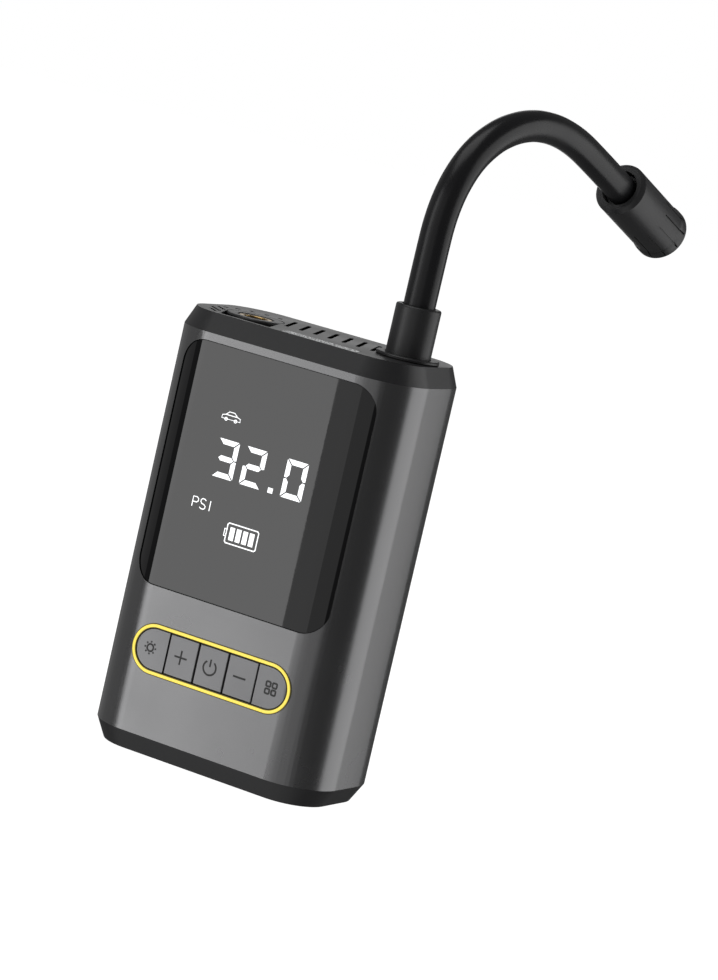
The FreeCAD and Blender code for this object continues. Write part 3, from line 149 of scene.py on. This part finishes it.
finishes = {
    "case_metal": {"colour": (0.146, 0.146, 0.148), "tint": (0.136, 0.136, 0.139), "drift": 0.4,
                   "gloss": (0.23, 0.28), "grain": (2300, 0.02), "metallic": 0.92},
    "black_plastic": {"colour": (0.017, 0.017, 0.018), "tint": (0.024, 0.024, 0.025), "drift": 0.5,
                      "gloss": (0.34, 0.42), "grain": (2600, 0.10), "shine": 0.36},
    "display_black": {"colour": (0.004, 0.004, 0.0045), "tint": (0.006, 0.006, 0.006),
                      "drift": 0.3, "gloss": (0.004, 0.014), "grain": (900, 0.002)},
    "ring_yellow": {"colour": (0.115, 0.098, 0.022), "tint": (0.085, 0.072, 0.018), "drift": 0.5,
                    "gloss": (0.30, 0.38), "grain": (3000, 0.03)},
    "button_grey": {"colour": (0.140, 0.140, 0.143), "tint": (0.128, 0.128, 0.131), "drift": 0.4,
                    "gloss": (0.27, 0.33), "grain": (3600, 0.06), "metallic": 0.90},
    "hose_rubber": {"colour": (0.011, 0.011, 0.012), "tint": (0.017, 0.017, 0.018), "drift": 0.5,
                    "gloss": (0.25, 0.33), "grain": (1500, 0.06), "shine": 0.22},
    "brass": {"colour": (0.42, 0.29, 0.12), "tint": (0.32, 0.21, 0.08), "drift": 0.5,
              "gloss": (0.22, 0.32), "grain": (2400, 0.04), "metallic": 1.0},
    "steel": {"colour": (0.50, 0.50, 0.51), "tint": (0.42, 0.42, 0.43), "drift": 0.5,
              "gloss": (0.26, 0.36), "grain": (2400, 0.05), "metallic": 1.0},
    "circuit_board": {"colour": (0.012, 0.10, 0.035), "tint": (0.008, 0.07, 0.025), "drift": 0.6,
                      "gloss": (0.30, 0.42), "grain": (1200, 0.08)},
    "chip_black": {"colour": (0.012, 0.012, 0.012), "tint": (0.02, 0.02, 0.02), "drift": 0.5,
                   "gloss": (0.5, 0.6), "grain": (4200, 0.10)},
    "cell_wrap": {"colour": (0.02, 0.09, 0.34), "tint": (0.015, 0.07, 0.28), "drift": 0.5,
                  "gloss": (0.18, 0.28), "grain": (700, 0.03)},
    "tray_plastic": {"colour": (0.03, 0.03, 0.03), "tint": (0.04, 0.04, 0.04), "drift": 0.5,
                     "gloss": (0.45, 0.55), "grain": (2600, 0.10)},
    "gear_nylon": {"colour": (0.68, 0.66, 0.58), "tint": (0.60, 0.57, 0.49), "drift": 0.5,
                   "gloss": (0.36, 0.46), "grain": (2600, 0.06)},
    "pump_alloy": {"colour": (0.55, 0.55, 0.57), "tint": (0.46, 0.46, 0.48), "drift": 0.6,
                   "gloss": (0.36, 0.50), "grain": (1800, 0.12), "metallic": 1.0},
    "seal_rubber": {"colour": (0.018, 0.018, 0.018), "tint": (0.026, 0.026, 0.026), "drift": 0.5,
                    "gloss": (0.55, 0.68), "grain": (2400, 0.10)},
    "lens_clear": {"colour": (0.62, 0.64, 0.66), "tint": (0.50, 0.52, 0.54), "drift": 0.5,
                   "gloss": (0.12, 0.24), "grain": (1600, 0.05), "clear": 0.55},
    "display_white": {"colour": (0.90, 0.92, 0.93), "tint": (0.82, 0.84, 0.86), "drift": 0.3,
                      "gloss": (0.4, 0.5), "grain": (900, 0.01), "glow": 0.95},
    # painted highlight for the ring: a pale yellow that glows
    "ring_painted_highlight": {"colour": (0.78, 0.62, 0.085), "tint": (0.74, 0.57, 0.065), "drift": 0.4,
                  "gloss": (0.30, 0.40), "grain": (3000, 0.03), "glow": 0.75},
    # painted glints: bright glowing speckles scattered over dark lens plastic
    "lens_glint": {"colour": (0.86, 0.87, 0.88), "tint": (0.10, 0.10, 0.102), "drift": 1.5,
                   "spread": 1500.0, "gloss": (0.06, 0.22), "grain": (2600, 0.20), "glow": 0.55},
    # painted shade: near-black for the insides of the vents and the screen under them
    "slot_painted_shade": {"colour": (0.0012, 0.0012, 0.0012), "tint": (0.003, 0.003, 0.003), "drift": 0.4,
                  "gloss": (0.80, 0.90), "grain": (2600, 0.05), "shine": 0.05},
    "icon_dark": {"colour": (0.010, 0.010, 0.010), "tint": (0.016, 0.016, 0.016), "drift": 0.4,
                  "gloss": (0.45, 0.55), "grain": (3000, 0.05)},
}
plainSpread = 45.0  # how fine the colour drift is where a finish doesn't say
plainShine = 0.5
bumpDepth = 0.05


def makeFinish(name, look):
    material = bpy.data.materials.new(name)
    material.use_nodes = True
    nodes, links = material.node_tree.nodes, material.node_tree.links
    shader = nodes["Principled BSDF"]
    shader.inputs["Specular IOR Level"].default_value = look.get("shine", plainShine)
    shader.inputs["Metallic"].default_value = look.get("metallic", 0.0)
    shader.inputs["Transmission Weight"].default_value = look.get("clear", 0.0)
    place = nodes.new("ShaderNodeTexCoord")
    detail = nodes.new("ShaderNodeGroup")
    detail.node_tree = surfaceGroup
    detail.inputs["Colour"].default_value = (*look["colour"], 1.0)
    detail.inputs["Tint"].default_value = (*look["tint"], 1.0)
    detail.inputs["Drift Scale"].default_value = look.get("spread", plainSpread)
    detail.inputs["Drift"].default_value = look["drift"]
    detail.inputs["Smooth"].default_value = look["gloss"][0]
    detail.inputs["Rough"].default_value = look["gloss"][1]
    detail.inputs["Grain Scale"].default_value = look["grain"][0]
    bump = nodes.new("ShaderNodeBump")
    bump.inputs["Strength"].default_value = look["grain"][1]
    bump.inputs["Distance"].default_value = bumpDepth * mm
    links.new(place.outputs["Object"], detail.inputs["Vector"])
    links.new(detail.outputs["Colour"], shader.inputs["Base Color"])
    links.new(detail.outputs["Roughness"], shader.inputs["Roughness"])
    links.new(detail.outputs["Grain"], bump.inputs["Height"])
    links.new(bump.outputs["Normal"], shader.inputs["Normal"])
    if "glow" in look:
        links.new(detail.outputs["Colour"], shader.inputs["Emission Color"])
        shader.inputs["Emission Strength"].default_value = look["glow"]
    return material


materials = {name: makeFinish(name, look) for name, look in finishes.items()}
for node, thing in frame["nodes"].items():
    thing.data.materials.clear()
    thing.data.materials.append(materials[slotOf[node]])
print("finishes made:", len(materials))


# helpers for pieces
def addPiece(name, mesh, finish, body):
    thing = bpy.data.objects.new(name, mesh)
    scene.collection.objects.link(thing)
    mesh.materials.clear()
    mesh.materials.append(materials[finish])
    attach(thing, body)
    return thing


edgeLook = {"segments": 2, "angle": 32.0, "flatAngle": 0.4, "weld": 0.001, "weight": 100}


def softened(node, width, look):
    # the node's own shape with its edges broken
    bm = bmesh.new()
    bm.from_mesh(frame["nodes"][node].data)
    bmesh.ops.remove_doubles(bm, verts=bm.verts, dist=look["weld"] * mm)
    bmesh.ops.dissolve_limit(bm, angle_limit=math.radians(look["flatAngle"]), verts=bm.verts,
                             edges=bm.edges)
    mesh = bpy.data.meshes.new(node + "_shape")
    bm.to_mesh(mesh)
    bm.free()
    mesh.shade_smooth()
    mesh.set_sharp_from_angle(angle=math.radians(look["angle"]))
    thing = addPiece(node + "_body", mesh, slotOf[node], bodyOf[node])
    bevel = thing.modifiers.new("edges", "BEVEL")
    bevel.width = width * mm
    bevel.segments = look["segments"]
    bevel.limit_method = "ANGLE"
    bevel.angle_limit = math.radians(look["angle"])
    bevel.harden_normals = False
    level = thing.modifiers.new("level_normals", "WEIGHTED_NORMAL")
    level.keep_sharp = True
    level.weight = look["weight"]
    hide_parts(node)
    return thing


# hose
hoseLook = {
    "foot": (27.7, 0.0, 139.5),
    "heading": 83.0,
    "radius": 4.65,
    "length": 0.1469,
    "roundness": 12,
    "steps": 16,
    "route": [(0.0, 0.0), (0.0, 17.0), (0.3, 34.5), (6.9, 48.1), (18.4, 57.1), (33.0, 61.7),
              (47.4, 62.0), (61.2, 59.3), (75.0, 54.2), (87.3, 49.4), (98.25, 45.1)],
}


def makeHose(look):
    turn = math.radians(look["heading"])
    foot = Vector(look["foot"])
    data = bpy.data.curves.new("hose_line", "CURVE")
    data.dimensions = "3D"
    data.bevel_depth = look["radius"] * mm
    data.bevel_resolution = look["roundness"]
    data.resolution_u = look["steps"]
    data.use_fill_caps = True
    line = data.splines.new("NURBS")
    line.points.add(len(look["route"]) - 1)
    for point, (out, height) in zip(line.points, look["route"]):
        place = foot + Vector((out * math.cos(turn), out * math.sin(turn), height))
        point.co = (*(place * mm), 1.0)
    line.order_u = 3
    line.use_endpoint_u = True
    line.use_smooth = True
    hose = bpy.data.objects.new("hose_tube", data)
    scene.collection.objects.link(hose)
    data.materials.append(materials["hose_rubber"])
    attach(hose, "case")
    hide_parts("hose")
    return hose


hose = makeHose(hoseLook)
print("hose laid")

# edges of the moulded and machined parts
edgeWidths = {
    "front_shell": 0.30, "rear_shell": 0.30, "top_cap": 0.12, "bottom_cap": 0.35,
    "display_glass": 0.35, "button_ring": 0.22, "light_button": 0.28, "plus_button": 0.28,
    "power_button": 0.28, "minus_button": 0.28, "mode_button": 0.28, "hose_bezel": 0.35,
    "hose_collar": 0.55, "storage_socket": 0.45, "socket_insert": 0.30, "led_lens": 0.30,
    "chuck_sleeve": 0.28, "chuck_nut": 0.25, "charging_port": 0.12,
}
softPieces = {node: softened(node, width, edgeLook) for node, width in edgeWidths.items()}


def paintSlotShade(thing, look):
    # painted shade: the upright walls of the vents are painted black all the way down, for the
    # shade inside them
    thing.data.materials.append(materials["slot_painted_shade"])
    for face in thing.data.polygons:
        spot = face.center / mm
        if abs(face.normal.z) < look["upright"] and spot.z > look["low"]:
            for left, right, front, back in look["areas"]:
                if left < spot.x < right and front < spot.y < back:
                    face.material_index = 1


# where the vent walls get painted shade
ventShadeLook = {
    "low": 126.5,
    "upright": 0.3,
    "areas": [(-19.5, 22.5, -6.5, 13.0), (-37.0, -30.5, -18.5, -1.0), (-37.0, -12.5, -1.5, 12.0)],
}
paintSlotShade(softPieces["top_cap"], ventShadeLook)
# painted shade: the dust screen under the vents is painted near-black
frame["nodes"]["dust_screen"].data.materials[0] = materials["slot_painted_shade"]
# painted glints on the lamp's lens
softPieces["led_lens"].data.materials[0] = materials["lens_glint"]

lensLook = {"pitch": 0.85, "radius": 0.24, "edge": 0.8, "segments": 10, "sharp": 40.0}


def makeLensRibs(look):
    # fine ribs that run across the lamp's lens, finished with glowing painted glints
    low, high = (Vector(corner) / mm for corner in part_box("led_lens"))
    deep = high.y - low.y - 2 * look["edge"]
    count = int((high.x - low.x - 2 * look["edge"]) / look["pitch"])
    middle = (low + high) / 2
    bm = bmesh.new()
    for index in range(count):
        x = middle.x + (index - (count - 1) / 2) * look["pitch"]
        place = Matrix.Translation((x * mm, middle.y * mm, high.z * mm))
        bmesh.ops.create_cone(bm, cap_ends=True, segments=look["segments"],
                              radius1=look["radius"] * mm, radius2=look["radius"] * mm,
                              depth=deep * mm, matrix=place @ Matrix.Rotation(math.pi / 2, 4, "X"))
    mesh = bpy.data.meshes.new("lens_ribs")
    bm.to_mesh(mesh)
    bm.free()
    mesh.shade_smooth()
    mesh.set_sharp_from_angle(angle=math.radians(look["sharp"]))
    addPiece("lens_ribs", mesh, "lens_glint", "case")


makeLensRibs(lensLook)
print("edges broken on", len(softPieces), "parts")


# flat graphics, drawn in x and z on the front
def flatShape(bm, outline, face, thick):
    verts = [bm.verts.new((x * mm, face * mm, z * mm)) for x, z in outline]
    base = bm.faces.new(verts)
    grown = bmesh.ops.extrude_face_region(bm, geom=[base])
    moved = [item for item in grown["geom"] if isinstance(item, bmesh.types.BMVert)]
    bmesh.ops.translate(bm, vec=(0.0, -thick * mm, 0.0), verts=moved)


def finishFlat(name, bm, finish, body):
    bmesh.ops.recalc_face_normals(bm, faces=bm.faces)
    mesh = bpy.data.meshes.new(name)
    bm.to_mesh(mesh)
    bm.free()
    return addPiece(name, mesh, finish, body)


def lineShape(name, strokes, width, face, finish, body, flat=0.12):
    # round strokes pressed flat against the face
    data = bpy.data.curves.new(name, "CURVE")
    data.dimensions = "3D"
    data.bevel_depth = width / 2 * mm
    data.bevel_resolution = 2
    data.use_fill_caps = True
    for points, closed in strokes:
        line = data.splines.new("POLY")
        line.points.add(len(points) - 1)
        for point, (x, z) in zip(line.points, points):
            point.co = (x * mm, 0.0, z * mm, 1.0)
        line.use_cyclic_u = closed
    drawn = bpy.data.objects.new(name, data)
    mesh = bpy.data.meshes.new_from_object(drawn)
    bpy.data.objects.remove(drawn)
    bm = bmesh.new()
    bm.from_mesh(mesh)
    bmesh.ops.scale(bm, vec=(1.0, flat, 1.0), verts=bm.verts)
    bmesh.ops.translate(bm, vec=(0.0, face * mm, 0.0), verts=bm.verts)
    bmesh.ops.recalc_face_normals(bm, faces=bm.faces)
    bm.to_mesh(mesh)
    bm.free()
    mesh.shade_smooth()
    return addPiece(name, mesh, finish, body)


def circle(x, z, radius, start=0.0, stop=360.0, steps=40):
    full = abs(stop - start) >= 360.0
    count = steps if full else steps + 1
    turns = [math.radians(start + (stop - start) * step / steps) for step in range(count)]
    return [(x + radius * math.cos(turn), z + radius * math.sin(turn)) for turn in turns], full


def roundTile(x, z, half, bend):
    # a small square with rounded corners
    points = []
    for corner in range(4):
        turn = math.radians(45 + 90 * corner)
        across = math.copysign(half - bend, math.cos(turn))
        along = math.copysign(half - bend, math.sin(turn))
        points += circle(x + across, z + along, bend, 90.0 * corner, 90.0 * (corner + 1), 5)[0]
    return points, True


screenLook = {
    "face": -22.0,
    "thick": 0.05,
    "digitLow": 84.97,
    "digitHigh": 96.1,
    "digitWidth": 7.0,
    "stroke": 1.50,
    "gap": 0.26,
    "digits": [("3", -13.9), ("2", -4.5), ("0", 9.3)],
    "dot": (5.1, 6.7),
    "line": 0.30,
    "bars": {"count": 4, "first": -3.9, "pitch": 2.2, "wide": 1.55, "low": 68.5, "high": 72.3},
    "car": [(-14.7, 101.8), (-14.6, 102.7), (-13.5, 103.0), (-12.5, 103.95), (-10.7, 103.95),
            (-9.6, 103.0), (-8.6, 102.7), (-8.5, 101.8)],
    "roof": [(-13.5, 103.0), (-9.6, 103.0)],
    "wheels": {"places": (-13.2, -10.0), "height": 101.75, "radius": 0.42},
    "battery": [(-4.6, 67.5), (5.0, 67.5), (5.4, 67.9), (5.4, 72.9), (5.0, 73.3), (-4.6, 73.3),
                (-5.0, 72.9), (-5.0, 67.9)],
    "nub": [(-5.0, 69.4), (-5.7, 69.4), (-5.7, 71.4), (-5.0, 71.4)],
    "unit": [
        [(-18.0, 74.75), (-18.0, 77.7), (-16.7, 77.7), (-16.2, 77.3), (-16.2, 76.6),
         (-16.7, 76.2), (-18.0, 76.2)],
        [(-13.6, 77.3), (-14.1, 77.7), (-14.9, 77.7), (-15.3, 77.3), (-15.3, 76.7),
         (-14.9, 76.3), (-14.1, 76.1), (-13.6, 75.7), (-13.6, 75.1), (-14.1, 74.75),
         (-14.9, 74.75), (-15.4, 75.1)],
        [(-12.1, 74.75), (-12.1, 77.7)],
    ],
    "carShare": 0.8,
    "batteryShare": 1.25,
}
segmentsOf = {"0": "abcdef", "2": "abged", "3": "abgcd"}


def digitSegments(left, low, high, wide, stroke, gap):
    # the seven bars of a lit digit, mitred where they meet
    right, middle, half = left + wide, (low + high) / 2, stroke / 2
    return {
        "a": [(left + gap, high), (right - gap, high), (right - stroke - gap, high - stroke),
              (left + stroke + gap, high - stroke)],
        "d": [(left + gap, low), (left + stroke + gap, low + stroke),
              (right - stroke - gap, low + stroke), (right - gap, low)],
        "b": [(right, high - gap), (right, middle + gap), (right - half, middle + gap / 2),
              (right - stroke, middle + half + gap), (right - stroke, high - stroke - gap)],
        "c": [(right, middle - gap), (right, low + gap), (right - stroke, low + stroke + gap),
              (right - stroke, middle - half - gap), (right - half, middle - gap / 2)],
        "f": [(left, high - gap), (left + stroke, high - stroke - gap),
              (left + stroke, middle + half + gap), (left + half, middle + gap / 2),
              (left, middle + gap)],
        "e": [(left, middle - gap), (left + half, middle - gap / 2),
              (left + stroke, middle - half - gap), (left + stroke, low + stroke + gap),
              (left, low + gap)],
        "g": [(left + half + gap, middle), (left + stroke + gap, middle + half),
              (right - stroke - gap, middle + half), (right - half - gap, middle),
              (right - stroke - gap, middle - half), (left + stroke + gap, middle - half)],
    }


def makeScreen(look):
    bm = bmesh.new()
    for digit, left in look["digits"]:
        bars = digitSegments(left, look["digitLow"], look["digitHigh"], look["digitWidth"],
                             look["stroke"], look["gap"])
        for key in segmentsOf[digit]:
            flatShape(bm, bars[key], look["face"], look["thick"])
    left, right = look["dot"]
    low = look["digitLow"]
    flatShape(bm, [(left, low), (right, low), (right, low + look["stroke"]),
                   (left, low + look["stroke"])], look["face"], look["thick"])
    bars = look["bars"]
    for index in range(bars["count"]):
        left = bars["first"] + bars["pitch"] * index
        right = left + bars["wide"]
        flatShape(bm, [(left, bars["low"]), (right, bars["low"]), (right, bars["high"]),
                       (left, bars["high"])], look["face"], look["thick"])
    finishFlat("screen_digits", bm, "display_white", "case")
    wheels = look["wheels"]
    car = [(look["car"], True), (look["roof"], False)]
    car += [circle(x, wheels["height"], wheels["radius"], steps=20) for x in wheels["places"]]
    battery = [(look["battery"], True), (look["nub"], False)]
    unit = [(letter, False) for letter in look["unit"]]
    for name, strokes, share in (("screen_car", car, look["carShare"]), ("screen_unit", unit, 1.0),
                                 ("screen_battery", battery, look["batteryShare"])):
        lineShape(name, strokes, look["line"] * share, look["face"], "display_white",
                  "case")


makeScreen(screenLook)

# size and place of the ring's painted highlight
ringHighlightLook = {"width": 0.90, "inset": 0.275, "steps": 24}


def makeRingHighlight(look):
    # painted highlight: a glowing bright line along the middle of the ring, standing in for light
    # caught on its rounded face
    low, high = (Vector(corner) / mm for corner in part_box("button_ring"))
    middle, reach = (low.z + high.z) / 2, (high.z - low.z) / 2
    bend = reach - look["width"] / 2 - look["inset"]
    ends = [(high.x - reach, -90.0), (low.x + reach, 90.0)]
    line = []
    for centre, start in ends:
        line += circle(centre, middle, bend, start, start + 180.0, look["steps"])[0]
    lineShape("ring_painted_highlight", [(line, True)], look["width"], low.y, "ring_painted_highlight",
              "case", flat=0.3)


makeRingHighlight(ringHighlightLook)

iconLook = {
    "face": -22.3,
    "middle": 31.5,
    "line": 0.56,
    "lamp": {"x": -20.9, "radius": 1.05, "rays": 8, "reach": (1.5, 2.0)},
    "plus": {"x": -10.4, "half": 2.1},
    "power": {"x": -0.4, "radius": 2.1, "drop": 0.1, "gap": (125.0, 415.0), "bar": (0.2, 2.4)},
    "minus": {"x": 9.7, "half": 2.1},
    "grid": {"x": 20.4, "step": 1.05, "tile": 0.70, "round": 0.30},
}


def makeIcons(look):
    z = look["middle"]
    lamp, plus, power = look["lamp"], look["plus"], look["power"]
    minus, grid = look["minus"], look["grid"]
    lampLines = [circle(lamp["x"], z, lamp["radius"], steps=28)]
    for index in range(lamp["rays"]):
        turn = math.radians(360.0 / lamp["rays"] * index)
        lampLines.append(([(lamp["x"] + reach * math.cos(turn), z + reach * math.sin(turn))
                           for reach in lamp["reach"]], False))
    steps = (-grid["step"], grid["step"])
    icons = {
        "light_button": lampLines,
        "plus_button": [([(plus["x"] - plus["half"], z), (plus["x"] + plus["half"], z)], False),
                        ([(plus["x"], z - plus["half"]), (plus["x"], z + plus["half"])], False)],
        "power_button": [circle(power["x"], z - power["drop"], power["radius"], *power["gap"]),
                         ([(power["x"], z + height) for height in power["bar"]], False)],
        "minus_button": [([(minus["x"] - minus["half"], z), (minus["x"] + minus["half"], z)],
                          False)],
        "mode_button": [roundTile(grid["x"] + across, z + along, grid["tile"], grid["round"])
                        for across in steps for along in steps],
    }
    for node, strokes in icons.items():
        lineShape(node + "_icon", strokes, look["line"], look["face"], "icon_dark",
                  node)


makeIcons(iconLook)
print("display and icons drawn")


# studio
studioLook = {
    "white": 1.0,
    "around": 0.10,
    "floorShare": 1.0,
    "floorSize": 6.0,
    "floorGrey": (0.22, 0.22, 0.22, 1.0),
}


def makeStudio(look):
    world = bpy.data.worlds.new("studio")
    scene.world = world
    world.use_nodes = True
    nodes, links = world.node_tree.nodes, world.node_tree.links
    seen = nodes["Background"]
    seen.inputs["Color"].default_value = (1.0, 1.0, 1.0, 1.0)
    seen.inputs["Strength"].default_value = look["white"]
    around = nodes.new("ShaderNodeBackground")
    around.inputs["Color"].default_value = (1.0, 1.0, 1.0, 1.0)
    around.inputs["Strength"].default_value = look["around"]
    path = nodes.new("ShaderNodeLightPath")
    mix = nodes.new("ShaderNodeMixShader")
    links.new(path.outputs["Is Camera Ray"], mix.inputs["Fac"])
    links.new(around.outputs[0], mix.inputs[1])
    links.new(seen.outputs[0], mix.inputs[2])
    links.new(mix.outputs[0], nodes["World Output"].inputs["Surface"])
    bm = bmesh.new()
    bmesh.ops.create_grid(bm, x_segments=1, y_segments=1, size=look["floorSize"] / 2)
    mesh = bpy.data.meshes.new("floor")
    bm.to_mesh(mesh)
    bm.free()
    floor = bpy.data.objects.new("floor", mesh)
    scene.collection.objects.link(floor)
    pale = bpy.data.materials.new("pale_floor")
    pale.use_nodes = True
    nodes, links = pale.node_tree.nodes, pale.node_tree.links
    nodes.remove(nodes["Principled BSDF"])
    matt = nodes.new("ShaderNodeBsdfDiffuse")
    matt.inputs["Color"].default_value = look["floorGrey"]
    lit = nodes.new("ShaderNodeEmission")
    lit.inputs["Strength"].default_value = look["floorShare"]
    both = nodes.new("ShaderNodeAddShader")
    path = nodes.new("ShaderNodeLightPath")
    pick = nodes.new("ShaderNodeMixShader")
    links.new(matt.outputs[0], both.inputs[0])
    links.new(lit.outputs[0], both.inputs[1])
    links.new(path.outputs["Is Camera Ray"], pick.inputs["Fac"])
    links.new(matt.outputs[0], pick.inputs[1])
    links.new(both.outputs[0], pick.inputs[2])
    links.new(pick.outputs[0], nodes["Material Output"].inputs["Surface"])
    mesh.materials.append(pale)
    floor.visible_glossy = False
    floor.visible_diffuse = False
    floor.visible_shadow = False


def addCard(name, place, target, wide, tall, radiance):
    data = bpy.data.lights.new(name, "AREA")
    data.shape = "RECTANGLE"
    data.size = wide
    data.size_y = tall
    data.energy = radiance * math.pi * wide * tall
    card = bpy.data.objects.new(name, data)
    scene.collection.objects.link(card)
    away = (Vector(place) - Vector(target)).normalized()
    card.location = place
    card.rotation_euler = away.to_track_quat("Z", "Y").to_euler()
    card.visible_camera = False


def addArcCard(name, look):
    # an upright card across a stretch of bearings, measured from the front towards the right
    ends = [Vector((math.sin(math.radians(turn)), -math.cos(math.radians(turn)), 0.0))
            * look["reach"] for turn in look["bearings"]]
    low, high = look["heights"]
    middle = (ends[0] + ends[1]) / 2
    level = Vector((0.0, 0.0, (low + high) / 2))
    addCard(name, middle + level, level, (ends[1] - ends[0]).length, high - low,
            look["radiance"])


arcCards = {
    "card_main": {"bearings": (-46.0, -26.6), "reach": 1.24, "heights": (-0.5, 0.9),
                  "radiance": 2.7},
    "card_soft": {"bearings": (-26.6, -5.0), "reach": 1.24, "heights": (-0.5, 0.9),
                  "radiance": 0.8},
    "card_dim": {"bearings": (-5.0, 28.0), "reach": 1.24, "heights": (-0.5, 0.9),
                 "radiance": 0.45},
    "card_left": {"bearings": (-130.0, -60.0), "reach": 0.9, "heights": (-0.3, 0.6),
                  "radiance": 0.2},
    "card_side": {"bearings": (97.0, 148.5), "reach": 0.45, "heights": (-0.2, 0.45),
                  "radiance": 1.62},
    "card_back": {"bearings": (200.0, 221.0), "reach": 0.9, "heights": (-0.1, 0.5),
                  "radiance": 0.8},
}
flatCards = {
    "card_top": {"place": (-0.15, -0.10, 0.75), "target": (0.0, 0.0, 0.1), "size": (0.5, 0.5),
                 "radiance": 2.0},
    "card_low": {"place": (0.0, -0.75, -0.50), "target": (0.0, -0.75, 0.0), "size": (1.8, 1.2),
                 "radiance": 0.7},
}
makeStudio(studioLook)
for name, look in arcCards.items():
    addArcCard(name, look)
for name, look in flatCards.items():
    addCard(name, look["place"], look["target"], *look["size"], look["radiance"])
print("studio lit")
